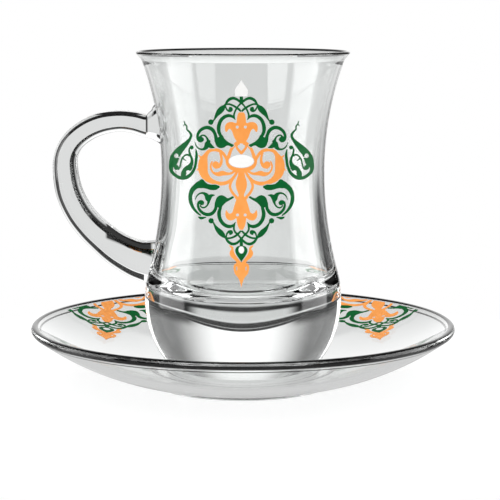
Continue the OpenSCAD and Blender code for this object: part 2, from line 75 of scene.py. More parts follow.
def linear(red: float, green: float, blue: float) -> Colour:
    """Turns a screen colour of 0 to 255 into linear light.

    Args:
        red: Red on the screen.
        green: Green on the screen.
        blue: Blue on the screen.

    Returns:
        The colour in linear light, 0 to 1.
    """
    shares = [channel / 255 for channel in (red, green, blue)]
    light = [s / 12.92 if s <= 0.04045 else ((s + 0.055) / 1.055) ** 2.4 for s in shares]
    return light[0], light[1], light[2]


def arc(centre: Point, radius: float, start: float, end: float, steps: int) -> list[Point]:
    """Points along an arc.

    Args:
        centre: Centre of the arc.
        radius: Radius of the arc.
        start: Angle of the first point in degrees.
        end: Angle of the last point in degrees.
        steps: Pieces the arc is cut into.

    Returns:
        One more point than there are steps.
    """
    turns = [math.radians(start + (end - start) * i / steps) for i in range(steps + 1)]
    return [(centre[0] + radius * math.cos(t), centre[1] + radius * math.sin(t)) for t in turns]


def bearing(centre: Point, point: Point) -> float:
    """Gives the angle in degrees at which a centre sees a point."""
    return math.degrees(math.atan2(point[1] - centre[1], point[0] - centre[0]))


def level(reach: float, height: float, steps: int) -> list[Point]:
    """Points along a level line from the axis out, without its two ends.

    Args:
        reach: How far out the line goes.
        height: Its height.
        steps: Pieces the line is cut into.

    Returns:
        One point fewer than there are steps.
    """
    return [(reach * i / steps, height) for i in range(1, steps)]


def glide(points: list[tuple[float, ...]], steps: int) -> list[tuple[float, ...]]:
    """Runs a smooth curve through listed points.

    Args:
        points: The points, in order.
        steps: Pieces that each span is cut into.

    Returns:
        The points of the curve, ends included.
    """
    last = len(points) - 1
    run = []
    for i in range(last):
        a, b, c, d = points[max(i - 1, 0)], points[i], points[i + 1], points[min(i + 2, last)]
        for k in range(steps):
            u = k / steps
            run.append(
                tuple(
                    q + 0.5 * u * (r - p + u * (2 * p - 5 * q + 4 * r - s + u * (3 * (q - r) + s - p)))
                    for p, q, r, s in zip(a, b, c, d)
                )
            )
    run.append(points[last])
    return run


class Expr:
    """A node socket on which Python's operators add Math nodes."""

    def __init__(self, graph: "Graph", socket: bpy.types.NodeSocket) -> None:
        """Wraps one output socket of a graph."""
        self.graph = graph
        self.socket = socket

    def maths(self, operation: str, *values: "Number") -> "Expr":
        """Adds one Math node.

        Args:
            operation: Name of the operation.
            values: What goes into its sockets, in order.

        Returns:
            The node's result.
        """
        inputs = dict(enumerate(values))
        made = self.graph.node("ShaderNodeMath", {"operation": operation}, inputs)
        return Expr(self.graph, made.outputs[0])

    def __add__(self, other: "Number") -> "Expr":
        """Sum."""
        return self.maths("ADD", self, other)

    def __radd__(self, other: "Number") -> "Expr":
        """Sum with a plain number first."""
        return self.maths("ADD", other, self)

    def __sub__(self, other: "Number") -> "Expr":
        """Difference."""
        return self.maths("SUBTRACT", self, other)

    def __rsub__(self, other: "Number") -> "Expr":
        """Difference from a plain number."""
        return self.maths("SUBTRACT", other, self)

    def __mul__(self, other: "Number") -> "Expr":
        """Product."""
        return self.maths("MULTIPLY", self, other)

    def __rmul__(self, other: "Number") -> "Expr":
        """Product with a plain number first."""
        return self.maths("MULTIPLY", other, self)

    def __truediv__(self, other: "Number") -> "Expr":
        """Quotient."""
        return self.maths("DIVIDE", self, other)

    def __abs__(self) -> "Expr":
        """Size without sign."""
        return self.maths("ABSOLUTE", self)

    def above(self, low: float, high: float) -> "Expr":
        """Rises smoothly from 0 at low to 1 at high.

        Args:
            low: Where the rise starts.
            high: Where the rise ends.

        Returns:
            A value of 0 to 1.
        """
        made = self.graph.node(
            "ShaderNodeMapRange",
            {"interpolation_type": "SMOOTHSTEP"},
            {"Value": self, "From Min": low, "From Max": high, "To Min": 0.0, "To Max": 1.0},
        )
        return Expr(self.graph, made.outputs["Result"])


Number = Union[Expr, float, int]


class Graph:
    """A node tree, for shaders or for geometry, and the one way nodes are added to it."""

    def __init__(self, tree: bpy.types.NodeTree) -> None:
        """Takes the tree that nodes go into."""
        self.tree = tree

    def node(
        self, kind: str, settings: dict[str, Any] | None = None, inputs: dict[Any, Any] | None = None
    ) -> bpy.types.Node:
        """Adds a node.

        Args:
            kind: The node's type.
            settings: Its properties, set first.
            inputs: Values or links of its sockets, by name or number.

        Returns:
            The new node.
        """
        made = self.tree.nodes.new(kind)
        for name, value in (settings or {}).items():
            setattr(made, name, value)
        for name, value in (inputs or {}).items():
            self.feed(made.inputs[name], value)
        return made

    def feed(self, socket: bpy.types.NodeSocket, value: Any) -> None:
        """Links a socket, or sets its plain value.

        Args:
            socket: The socket to feed.
            value: An expression, another socket, or a plain value.
        """
        if isinstance(value, Expr):
            self.tree.links.new(value.socket, socket)
        elif isinstance(value, bpy.types.NodeSocket):
            self.tree.links.new(value, socket)
        else:
            socket.default_value = value

    def read(self, node: bpy.types.Node, name: Any = 0) -> Expr:
        """Wraps one of a node's outputs."""
        return Expr(self, node.outputs[name])

    def split(self, vector: bpy.types.NodeSocket) -> tuple[Expr, Expr, Expr]:
        """Takes a vector apart into its X, Y and Z."""
        made = self.node("ShaderNodeSeparateXYZ", None, {0: vector})
        return self.read(made, "X"), self.read(made, "Y"), self.read(made, "Z")

    def vector(self, operation: str, inputs: dict[Any, Any]) -> bpy.types.NodeSocket:
        """Adds one Vector Math node and gives its result."""
        return self.node("ShaderNodeVectorMath", {"operation": operation}, inputs).outputs[0]

    def sample(
        self, shape: bpy.types.NodeSocket, kind: str, value: bpy.types.NodeSocket, index: Expr
    ) -> bpy.types.NodeSocket:
        """Reads a value at one point of a shape.

        Args:
            shape: The shape that has the points.
            kind: Type of the value.
            value: The value to read.
            index: Number of the point.

        Returns:
            The value there.
        """
        made = self.node(
            "GeometryNodeSampleIndex",
            {"data_type": kind, "domain": "POINT", "clamp": True},
            {"Geometry": shape, "Value": value, "Index": index},
        )
        return made.outputs[0]

    def noise(
        self, place: bpy.types.NodeSocket, per_m: float, detail: float, rough: float = 0.5
    ) -> Expr:
        """Adds cloudy noise.

        Args:
            place: Coordinates that the noise is fixed to.
            per_m: How many clouds go into a metre.
            detail: How many finer layers it has.
            rough: How strong the finer layers are.

        Returns:
            The noise, about 0 to 1.
        """
        inputs = {"Vector": place, "Scale": per_m, "Detail": detail, "Roughness": rough}
        return self.read(self.node("ShaderNodeTexNoise", None, inputs), "Fac")

    def blend(self, share: Expr, first: Any, second: Colour) -> bpy.types.NodeSocket:
        """Mixes two colours.

        Args:
            share: 0 for the first colour to 1 for the second.
            first: A colour, or the socket of one.
            second: A colour.

        Returns:
            The socket of the mixed colour.
        """
        start = (*first, 1.0) if isinstance(first, tuple) else first
        made = self.node("ShaderNodeMix", {"data_type": "RGBA"}, {0: share, 6: start, 7: (*second, 1.0)})
        return made.outputs[2]

    def bump(self, height: Expr, distance: float, strength: float) -> bpy.types.NodeSocket:
        """Turns a height into a bent normal.

        Args:
            height: The height, 0 to 1.
            distance: What a height of 1 comes to in metres.
            strength: How much of it shows.

        Returns:
            The socket of the normal.
        """
        inputs = {"Height": height, "Distance": distance, "Strength": strength}
        return self.node("ShaderNodeBump", None, inputs).outputs["Normal"]


def fresh_material(name: str) -> tuple[bpy.types.Material, Graph]:
    """Starts a material with an empty node tree.

    Args:
        name: The material's name.

    Returns:
        The material and its graph.
    """
    material = bpy.data.materials.new(name)
    material.use_nodes = True
    material.node_tree.nodes.clear()
    return material, Graph(material.node_tree)


@dataclass(frozen=True)
class PaintedDarkEdge:
    """A painted dark line in the glass along a rim or an edge, in millimetres: painted shade standing in
    for the dark edge that clear glass refracts from a darker room.

    It lies between two radii, between two heights and, where given, between two distances in front of the
    axis. Its heights rise with the radius where it climbs.
    """

    radius_from: float
    low: float
    high: float
    front: tuple[float, float] | None = None
    radius_to: float = 200.0
    climb: float = 0.0
    soft: float = 0.15

    def between(self, place: Expr, low: float, high: float) -> Expr:
        """Gives 1 between two values and 0 outside them, with soft ends."""
        over = place.above(low - self.soft, low + self.soft)
        return over * (1 - place.above(high - self.soft, high + self.soft))

    def share(self, radius: Expr, height: Expr, depth: Expr) -> Expr:
        """Works out how much painted edge shade the glass has at one place.

        Args:
            radius: Distance from the axis.
            height: Height over the table.
            depth: Distance in front of the axis.

        Returns:
            0 for clear glass to 1 for full painted shade.
        """
        out = self.between(radius, self.radius_from, self.radius_to)
        level = height - (radius - self.radius_from) * self.climb if self.climb else height
        painted_shade_share = out * self.between(level, self.low, self.high)
        return painted_shade_share * self.between(depth, *self.front) if self.front else painted_shade_share


def saucer_painted_edges() -> tuple[PaintedDarkEdge, ...]:
    """Lists the painted dark lines of the saucer's rim, painted shade for its dark refracted edges.

    Returns:
        The lines along its top, round its outside and under it.
    """
    top = PaintedDarkEdge(64.8, 19.34, 30.0, soft=0.06)
    outside = PaintedDarkEdge(66.4, 17.7, 18.5, soft=0.08)
    under = PaintedDarkEdge(65.3, 16.4, 16.8, soft=0.1)
    return top, outside, under


def cup_painted_edges() -> tuple[PaintedDarkEdge, ...]:
    """Lists the painted dark lines of the cup, painted shade for the dark refracted edges of its lip and
    handle.

    Returns:
        The lip's line, and those of the handle: bevels, top edge, upper root and lower lap.
    """
    lip = PaintedDarkEdge(31.7, 105.38, 120.0, (-40.0, 28.0), radius_to=33.2)
    bevels = PaintedDarkEdge(30.6, 37.0, 97.0, (3.16, 4.14), soft=0.06)
    low_bevel = PaintedDarkEdge(31.6, 20.0, 37.3, (3.16, 4.14), soft=0.06)
    inner_bevel = PaintedDarkEdge(43.0, 44.5, 60.0, (3.06, 4.15), radius_to=54.5, climb=1.42, soft=0.08)
    top_edge = PaintedDarkEdge(31.6, 86.1, 95.0, (2.2, 4.4))
    upper_root = PaintedDarkEdge(30.2, 80.6, 90.0, (3.0, 5.0), radius_to=30.8)
    lap = PaintedDarkEdge(29.0, 41.2, 60.0, (2.0, 6.0), radius_to=43.6, climb=0.41, soft=0.5)
    return lip, bevels, low_bevel, inner_bevel, top_edge, upper_root, lap


@dataclass(frozen=True)
class GlassFinish:
    """Clear fire-polished glass: even, with a faint waviness, a few hazier patches and painted dark lines,
    painted shade for its dark refracted edges.
    """

    name: str
    painted_dark_edges: tuple[PaintedDarkEdge, ...]
    tint: Colour = (0.985, 0.995, 0.99)
    deep_tint: Colour = (0.955, 0.97, 0.965)
    # Painted shade: the near-black colour of the painted dark edge lines.
    painted_edge_shade: Colour = (0.0008, 0.0008, 0.0008)
    shadow_tint: Colour = (0.96, 0.97, 0.97)
    shadow_clear: float = 0.9
    ior: float = 1.5
    wave_per_m: float = 55.0
    wave_detail: float = 2.0
    wave_rough: float = 0.4
    wave_height: float = 0.000012
    haze: float = 0.006
    haze_from: float = 0.55
    haze_to: float = 0.9

    def painted_shade_share(self, graph: Graph, place: bpy.types.NodeSocket) -> Expr:
        """Works out how much painted edge shade the glass has, as the strongest of its painted dark lines.

        Args:
            graph: The material's graph.
            place: Its Object coordinates.

        Returns:
            0 for clear glass to 1 for full smoke.
        """
        x, y, z = graph.split(place)
        radius = x.maths("SQRT", x * x + y * y) / MM
        height = z / MM
        depth = y / -MM
        strongest, *others = [line.share(radius, height, depth) for line in self.painted_dark_edges]
        for other in others:
            strongest = strongest.maths("MAXIMUM", strongest, other)
        return strongest

    def make(self) -> bpy.types.Material:
        """Builds the material.

        Returns:
            The finished material.
        """
        material, graph = fresh_material(self.name)
        place = graph.node("ShaderNodeTexCoord").outputs["Object"]
        wave = graph.noise(place, self.wave_per_m, self.wave_detail, self.wave_rough)
        tinted = graph.blend(wave, self.tint, self.deep_tint)
        # The base colour goes near black along the painted dark lines: painted shade for dark refracted
        # edges.
        glass = graph.node(
            "ShaderNodeBsdfPrincipled",
            None,
            {
                "Base Color": graph.blend(self.painted_shade_share(graph, place), tinted, self.painted_edge_shade),
                "Roughness": wave.above(self.haze_from, self.haze_to) * self.haze,
                "Normal": graph.bump(wave, self.wave_height, 1.0),
                "IOR": self.ior,
                "Transmission Weight": 1.0,
            },
        )
        path = graph.node("ShaderNodeLightPath")
        clear = graph.node("ShaderNodeBsdfTransparent", None, {"Color": (*self.shadow_tint, 1.0)})
        mixed = graph.node(
            "ShaderNodeMixShader",
            None,
            {
                0: graph.read(path, "Is Shadow Ray") * self.shadow_clear,
                1: glass.outputs[0],
                2: clear.outputs[0],
            },
        )
        graph.node("ShaderNodeOutputMaterial", None, {"Surface": mixed.outputs[0]})
        return material


@dataclass(frozen=True)
class EnamelFinish:
    """Fired printing enamel: opaque, softly glossy, with the faint mottle and grain of a screen print."""

    name: str
    light: Colour
    dark: Colour
    mottle_per_m: float = 420.0
    mottle_detail: float = 4.0
    mottle_rough: float = 0.55
    mottle_from: float = 0.3
    mottle_to: float = 0.7
    grain_per_m: float = 2600.0
    grain_detail: float = 2.0
    grain_height: float = 0.000006
    grain_strength: float = 0.6
    gloss_rough: float = 0.34
    rough_spread: float = 0.12
    coat: float = 0.02
    coat_spread: float = 0.06
    mirror: float = 0.1

    def make(self) -> bpy.types.Material:
        """Builds the material.

        Returns:
            The finished material.
        """
        material, graph = fresh_material(self.name)
        place = graph.node("ShaderNodeTexCoord").outputs["Object"]
        patch = graph.noise(place, self.mottle_per_m, self.mottle_detail, self.mottle_rough)
        speck = graph.noise(place, self.grain_per_m, self.grain_detail)
        shade = patch.above(self.mottle_from, self.mottle_to)
        enamel = graph.node(
            "ShaderNodeBsdfPrincipled",
            None,
            {
                "Base Color": graph.blend(shade, self.light, self.dark),
                "Roughness": self.gloss_rough + self.rough_spread * patch,
                "Coat Weight": self.coat + self.coat_spread * speck,
                "Normal": graph.bump(speck, self.grain_height, self.grain_strength),
                "Specular IOR Level": self.mirror,
            },
        )
        graph.node("ShaderNodeOutputMaterial", None, {"Surface": enamel.outputs[0]})
        return material


class Ink(Enum):
    """The print colours, each with its enamel."""

    GREEN = EnamelFinish("fired_green_enamel", linear(0, 100, 46), linear(0, 92, 40))
    ORANGE = EnamelFinish("fired_orange_enamel", linear(254, 167, 88), linear(252, 160, 78))
    WHITE = EnamelFinish("fired_white_enamel", linear(254, 254, 253), linear(250, 250, 248))


class GridTree:
    """What both Geometry Nodes trees share: a grid of points that is laid on a shape and closed."""

    def __init__(self, name: str) -> None:
        """Starts the tree with its one output."""
        self.tree = bpy.data.node_groups.new(name, "GeometryNodeTree")
        self.graph = Graph(self.tree)
        self.tree.interface.new_socket("Shape", in_out="OUTPUT", socket_type="NodeSocketGeometry")

    def give(self, name: str, kind: str) -> str:
        """Adds a named input and returns its identifier."""
        return self.tree.interface.new_socket(name, in_out="INPUT", socket_type=kind).identifier

    def grid(self, rows: Expr, columns: Expr) -> tuple[bpy.types.NodeSocket, Expr, Expr]:
        """Adds the grid.

        Args:
            rows: How many rows of points it has.
            columns: How many faces go round.

        Returns:
            The grid's mesh, the row of each point, and how far round the point is, 0 to 1.
        """
        graph = self.graph
        sizes = {"Size X": 1.0, "Size Y": 1.0, "Vertices X": rows, "Vertices Y": columns + 1}
        made = graph.node("GeometryNodeMeshGrid", None, sizes)
        x, y, _ = graph.split(graph.node("GeometryNodeInputPosition").outputs[0])
        row = (x + 0.5) * (rows - 1)
        return made.outputs["Mesh"], row.maths("ROUND", row), y + 0.5

    def close(
        self, mesh: bpy.types.NodeSocket, place: bpy.types.NodeSocket, finish: bpy.types.NodeSocket
    ) -> None:
        """Puts the points in place, joins the grid's ends and gives it its material.

        Args:
            mesh: The grid.
            place: Where each point goes.
            finish: The material.
        """
        graph = self.graph
        moved = graph.node("GeometryNodeSetPosition", None, {"Geometry": mesh, "Position": place})
        joined = {"Geometry": moved.outputs[0], "Distance": JOIN_M}
        closed = graph.node("GeometryNodeMergeByDistance", None, joined)
        real = graph.node("GeometryNodeRealizeInstances", None, {"Geometry": closed.outputs[0]})
        dress = {"Geometry": real.outputs[0], "Material": finish}
        dressed = graph.node("GeometryNodeSetMaterial", None, dress)
        graph.node("NodeGroupOutput", None, {"Shape": dressed.outputs[0]})


class LatheTree(GridTree):
    """Geometry Nodes tree that turns a profile about the Z axis."""

    def __init__(self) -> None:
        """Builds the tree and keeps the identifiers of its inputs."""
        super().__init__("turned_glass")
        self.give("Profile", "NodeSocketGeometry")
        self.points = self.give("Profile points", "NodeSocketInt")
        self.facets = self.give("Facets", "NodeSocketInt")
        self.finish = self.give("Finish", "NodeSocketMaterial")
        self.wire()

    def wire(self) -> None:
        """Adds the nodes: the grid's rows are the profile and its columns go round the axis."""
        graph = self.graph
        given = graph.node("NodeGroupInput")
        mesh, row, share = self.grid(graph.read(given, "Profile points"), graph.read(given, "Facets"))
        turn = share * (2 * math.pi)
        spots = graph.node("GeometryNodeInputPosition").outputs[0]
        radius, _, height = graph.split(graph.sample(given.outputs["Profile"], "FLOAT_VECTOR", spots, row))
        place = graph.node(
            "ShaderNodeCombineXYZ",
            None,
            {
                "X": radius * turn.maths("COSINE", turn),
                "Y": radius * turn.maths("SINE", turn),
                "Z": height,
            },
        )
        self.close(mesh, place.outputs[0], given.outputs["Finish"])


class SweepTree(GridTree):
    """Geometry Nodes tree that carries a drawn section along a path in the XZ plane."""

    def __init__(self) -> None:
        """Builds the tree and keeps the identifiers of its inputs."""
        super().__init__("swept_handle")
        self.give("Path", "NodeSocketGeometry")
        self.stations = self.give("Stations", "NodeSocketInt")
        self.sides = self.give("Sides", "NodeSocketInt")
        self.section = self.give("Section", "NodeSocketObject")
        self.finish = self.give("Finish", "NodeSocketMaterial")
        self.wire()

    def size(self, path: bpy.types.NodeSocket, name: str, station: Expr) -> Expr:
        """Reads one of the path's named sizes at a station."""
        stored = self.graph.node("GeometryNodeInputNamedAttribute", {"data_type": "FLOAT"}, {"Name": name})
        return Expr(self.graph, self.graph.sample(path, "FLOAT", stored.outputs[0], station))

    def wire(self) -> None:
        """Adds the nodes: the grid's rows are stations and its columns go round the section."""
        graph = self.graph
        given = graph.node("NodeGroupInput")
        path = given.outputs["Path"]
        sides = graph.read(given, "Sides")
        mesh, station, share = self.grid(graph.read(given, "Stations"), sides)
        column = share * sides
        side = column.maths("MODULO", column.maths("ROUND", column), sides)
        drawn = graph.node("GeometryNodeObjectInfo", None, {"Object": given.outputs["Section"]})
        spots = graph.node("GeometryNodeInputPosition").outputs[0]
        ahead = graph.sample(path, "FLOAT_VECTOR", spots, station + 1)
        behind = graph.sample(path, "FLOAT_VECTOR", spots, station - 1)
        middle = graph.sample(path, "FLOAT_VECTOR", spots, station)
        edge = graph.sample(drawn.outputs["Geometry"], "FLOAT_VECTOR", spots, side)
        share_across, share_back, _ = graph.split(edge)
        heading = graph.vector("NORMALIZE", {0: graph.vector("SUBTRACT", {0: ahead, 1: behind})})
        across = graph.vector("CROSS_PRODUCT", {0: heading, 1: (0.0, 1.0, 0.0)})
        wide = share_across * self.size(path, "thick", station) / MM
        deep = share_back * self.size(path, "deep", station) / MM
        sideways = graph.vector("SCALE", {0: across, "Scale": wide})
        forward = graph.node("ShaderNodeCombineXYZ", None, {"Y": deep})
        offset = graph.vector("ADD", {0: sideways, 1: forward.outputs[0]})
        self.close(mesh, graph.vector("ADD", {0: middle, 1: offset}), given.outputs["Finish"])


def wire_object(name: str, points: list[tuple[float, float, float]]) -> bpy.types.Object:
    """Makes a chain of edges that a node tree reads.

    Args:
        name: The object's name.
        points: Points in millimetres.

    Returns:
        The object, linked to the scene.
    """
    mesh = bpy.data.meshes.new(name)
    edges = [(i, i + 1) for i in range(len(points) - 1)]
    mesh.from_pydata([(x * MM, y * MM, z * MM) for x, y, z in points], edges, [])
    made = bpy.data.objects.new(name, mesh)
    bpy.context.scene.collection.objects.link(made)
    return made


def run_tree(
    source: bpy.types.Object, tree: bpy.types.NodeTree, values: dict[str, Any]
) -> bpy.types.Object:
    """Runs a geometry tree on an object and keeps the result as a plain mesh.

    Args:
        source: The object with the points that the tree reads.
        tree: The tree.
        values: Values of the tree's inputs, by identifier.

    Returns:
        The same object with the finished mesh and no modifier.
    """
    modifier = source.modifiers.new("build", "NODES")
    modifier.node_group = tree
    for identifier, value in values.items():
        modifier[identifier] = value
    settle(source)
    return source


def settle(made: bpy.types.Object) -> None:
    """Turns an object's modifiers into its own mesh.

    Args:
        made: The object.
    """
    graph = bpy.context.evaluated_depsgraph_get()
    mesh = bpy.data.meshes.new_from_object(made.evaluated_get(graph), depsgraph=graph)
    mesh.name = made.name
    made.modifiers.clear()
    made.data = mesh


def close_up(made: bpy.types.Object) -> None:
    """Fills open ends, joins doubles and turns every face outwards.

    Args:
        made: The object to mend.
    """
    work = bmesh.new()
    work.from_mesh(made.data)
    bmesh.ops.remove_doubles(work, verts=work.verts, dist=JOIN_M)
    bmesh.ops.dissolve_degenerate(work, edges=work.edges, dist=SLIVER_M)
    bmesh.ops.holes_fill(work, edges=[e for e in work.edges if e.is_boundary], sides=0)
    bmesh.ops.recalc_face_normals(work, faces=work.faces)
    work.to_mesh(made.data)
    work.free()


def combine(base: bpy.types.Object, other: bpy.types.Object, operation: str) -> None:
    """Joins another solid to a base, or cuts it off.

    Args:
        base: The solid that is kept.
        other: The solid that is used up.
        operation: UNION or DIFFERENCE.
    """
    modifier = base.modifiers.new("combine", "BOOLEAN")
    modifier.operation = operation
    modifier.solver = "EXACT"
    modifier.object = other
    settle(base)
    bpy.data.objects.remove(other)


def smooth(made: bpy.types.Object) -> None:
    """Shades a mesh smoothly, with its sharper edges left sharp.

    Args:
        made: The object.
    """
    made.data.polygons.foreach_set("use_smooth", [True] * len(made.data.polygons))
    made.data.set_sharp_from_angle(angle=math.radians(SHARP_DEGREES))


@dataclass
class TurnedGlass:
    """What both pieces of glass share: turning a profile into a closed mesh."""

    tree: LatheTree
    finish: bpy.types.Material

    def turn(self, name: str, profile: list[Point], facets: int) -> bpy.types.Object:
        """Turns a profile about the axis.

        Args:
            name: Name of the piece.
            profile: Radius and height of each point in millimetres, from the axis back to the axis.
            facets: Steps round the axis.

        Returns:
            The closed piece.
        """
        source = wire_object(name, [(radius, 0.0, height) for radius, height in profile])
        values = {self.tree.points: len(profile), self.tree.facets: facets, self.tree.finish: self.finish}
        made = run_tree(source, self.tree.tree, values)
        close_up(made)
        return made


@dataclass
class Saucer(TurnedGlass):
    """The glass dish: foot ring, curved wall, rolled rim and a sunk well for the cup."""

    outside_d: float = 134.999
    wall: float = 2.6
    dish_arc: float = 88.0
    foot_d: float = 57.2
    foot_w: float = 3.6
    foot_h: float = 1.0
    recess: float = 1.2
    well_d: float = 61.0
    well_z: float = 3.9
    tip_in: float = 0.6
    tip_z: float = 17.3
    print_gap: float = 0.02
    edge: float = 0.45
    recess_steps: int = 8
    well_steps: int = 10
    edge_steps: int = 6
    dish_steps: int = 56
    bead_steps: int = 24
    facets: int = 288

    def profile(self) -> list[Point]:
        """Lists the section from the axis below to the axis above.

        Returns:
            Radius and height of each point in millimetres.
        """
        outer_r = self.outside_d / 2
        foot_r = self.foot_d / 2
        foot = (foot_r, self.foot_h)
        tip = (outer_r - self.tip_in, self.tip_z)
        chord = (tip[0] - foot[0], tip[1] - foot[1])
        length = math.hypot(*chord)
        up = math.sqrt(self.dish_arc**2 - (length / 2) ** 2) / length
        centre = ((foot[0] + tip[0]) / 2 - up * chord[1], (foot[1] + tip[1]) / 2 + up * chord[0])
        bead = self.wall / 2
        middle_arc = self.dish_arc - bead
        bead_x = outer_r - bead
        bead_c = (bead_x, centre[1] - math.sqrt(middle_arc**2 - (bead_x - centre[0]) ** 2))
        inner_arc = self.dish_arc - self.wall + self.print_gap
        foot_turn = bearing(centre, foot)
        bead_turn = bearing(centre, bead_c)
        well_r = self.well_d / 2
        edge_z = centre[1] - math.sqrt(inner_arc**2 - (well_r - centre[0]) ** 2)
        well_turn = bearing(centre, (well_r, edge_z))
        inside_r = foot_r - self.foot_w
        edge = self.edge
        rounds = self.edge_steps
        return [
            (0.0, self.recess),
            *level(inside_r - edge, self.recess, self.recess_steps),
            *arc((inside_r - edge, self.recess - edge), edge, 90, 0, rounds),
            *arc((inside_r + edge, edge), edge, 180, 270, rounds),
            *arc((foot_r - edge, edge), edge, -90, 0, rounds),
            *arc(centre, self.dish_arc, foot_turn, bead_turn, self.dish_steps)[1:],
            *arc(bead_c, bead, bead_turn, bead_turn + 180, self.bead_steps)[1:-1],
            *arc(centre, inner_arc, bead_turn, well_turn, self.dish_steps),
            *arc((well_r - edge, self.well_z + edge), edge, 0, -90, rounds)[1:],
            *reversed(level(well_r - edge, self.well_z, self.well_steps)),
            (0.0, self.well_z),
        ]

    def build(self) -> bpy.types.Object:
        """Turns the saucer and puts it in place of the CAD solid.

        Returns:
            The glass saucer.
        """
        made = self.turn("saucer_glass", self.profile(), self.facets)
        smooth(made)
        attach(made, Body.SAUCER.value)
        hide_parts("saucer")
        return made


@dataclass
class Cup(TurnedGlass):
    """The waisted glass bowl with its thick base and the stuck-on handle, as one piece of glass."""

    sweep: SweepTree
    lift: float = 3.9
    height: float = 102.2
    lip_d: float = 67.2
    lip_bead: float = 0.6
    lip_gap: float = 0.005
    lip_from: float = -30.0
    lip_to: float = 155.0
    lip_run: tuple[Point, ...] = ((0.22, 0.75), (0.55, 1.5))
    waist_d: float = 51.6
    waist_z: float = 64.6
    bulge_d: float = 62.8
    bulge_z: float = 23.5
    bulge_arc: float = 34.0
    foot_edge: float = 3.0
    foot_w: float = 3.0
    foot_gap: float = 0.03
    punt: float = 1.2
    wall: float = 2.1
    base: float = 25.0
    corner: float = 7.0
    panel_r: float = 17.4
    panel_edge: float = 1.0
    panel_step: float = 0.6
    flare_drop: float = 4.2
    flare_out: float = 31.4
    inner_waist_drop: float = 4.5
    inner_arc: float = 116.0
    inner_top_drop: float = 3.0
    print_gap: float = 0.02
    root_share: float = 0.4
    core_from: float = 8.0
    punt_steps: int = 6
    punt_edge_steps: int = 5
    foot_steps: int = 14
    bulge_steps: int = 60
    low_steps: int = 26
    high_steps: int = 34
    lip_steps: int = 20
    inner_steps: int = 60
    corner_steps: int = 26
    panel_edge_steps: int = 12
    panel_steps: int = 8
    handle_steps: int = 8
    section_steps: int = 5
    facets: int = 256
    core_facets: int = 128

    def outside(self) -> list[Point]:
        """Lists the outside of the bowl from the foot up to the flare, in the cup's own heights.

        Returns:
            Radius and height of each point in millimetres.
        """
        gap = self.print_gap
        waist_r = self.waist_d / 2
        bulge_c = (self.bulge_d / 2 - self.bulge_arc, self.bulge_z)
        step = self.bulge_arc - self.bulge_d / 2 + waist_r
        drop = self.waist_z - self.bulge_z
        low_arc = (step**2 + drop**2 - self.bulge_arc**2) / (2 * (self.bulge_arc - step))
        low_c = (waist_r + low_arc, self.waist_z)
        blend = bearing(bulge_c, low_c)
        flare_z = self.height - self.flare_drop
        rise = self.flare_out - waist_r
        high_arc = ((flare_z - self.waist_z) ** 2 + rise**2) / (2 * rise)
        high_c = (waist_r + high_arc, self.waist_z)
        flare = 180 - math.degrees(math.asin((flare_z - self.waist_z) / high_arc))
        reach = self.bulge_arc - self.foot_edge
        foot_c = (bulge_c[0] + math.sqrt(reach**2 - (self.foot_edge - self.bulge_z) ** 2), self.foot_edge)
        foot_turn = bearing(bulge_c, foot_c)
        punt_r = foot_c[0] - self.foot_w
        flat_r = punt_r - 2 * self.punt
        rounds = self.punt_edge_steps
        return [
            (0.0, self.punt),
            *level(flat_r, self.punt, self.punt_steps),
            *arc((flat_r, 0.0), self.punt, 90, 45, rounds),
            *arc((punt_r, self.punt + self.foot_gap), self.punt, 225, 270, rounds),
            *arc(foot_c, self.foot_edge - self.foot_gap, -90, foot_turn, self.foot_steps),
            *arc(bulge_c, self.bulge_arc - gap, foot_turn, blend, self.bulge_steps)[1:],
            *arc(low_c, low_arc + gap, 180 + blend, 180, self.low_steps)[1:],
            *arc(high_c, high_arc + gap, 180, flare, self.high_steps)[1:],
        ]

    def inside(self) -> list[Point]:
        """Lists the lip and the inside of the bowl down to the floor, in the cup's own heights.

        Returns:
            Radius and height of each point in millimetres.
        """
        bead = self.lip_bead
        lip_c = (self.lip_d / 2 - bead, self.height - bead - self.lip_gap)
        waist_r = self.waist_d / 2 - self.wall
        waist_z = self.waist_z - self.inner_waist_drop
        centre = (waist_r + self.inner_arc, waist_z)
        top_z = self.height - self.inner_top_drop
        top = 180 - math.degrees(math.asin((top_z - waist_z) / self.inner_arc))
        corner_z = self.base + self.corner
        gap = waist_z - corner_z
        corner_x = centre[0] - math.sqrt((self.inner_arc + self.corner) ** 2 - gap**2)
        turn = bearing((corner_x, corner_z), centre)
        flare_z = self.height - self.flare_drop
        return [
            *[(self.flare_out + out, flare_z + up) for out, up in self.lip_run],
            *arc(lip_c, bead, self.lip_from, self.lip_to, self.lip_steps),
            *arc(centre, self.inner_arc, top, 180 + turn, self.inner_steps),
            *arc((corner_x, corner_z), self.corner, turn, -90, self.corner_steps)[1:],
            *self.floor(),
        ]

    def floor(self) -> list[Point]:
        """Lists the cup's floor, which has a shallow round panel pressed into it.

        Returns:
            Radius and height of each point in millimetres, from the panel's rim to the axis.
        """
        edge = self.panel_edge
        rim = self.panel_r + 2 * edge
        count = self.panel_edge_steps
        rises = [(1 - math.cos(math.pi * i / count)) / 2 for i in range(count + 1)]
        slope = [
            (rim - 2 * edge * i / count, self.base + self.panel_step * rise)
            for i, rise in enumerate(rises)
        ]
        reach, top = slope[-1]
        return [*slope, *reversed(level(reach, top, self.panel_steps)), (0.0, top)]

    def raised(self, profile: list[Point]) -> list[Point]:
        """Lifts a profile from the cup's own heights to where the cup stands in the saucer."""
        return [(radius, height + self.lift) for radius, height in profile]

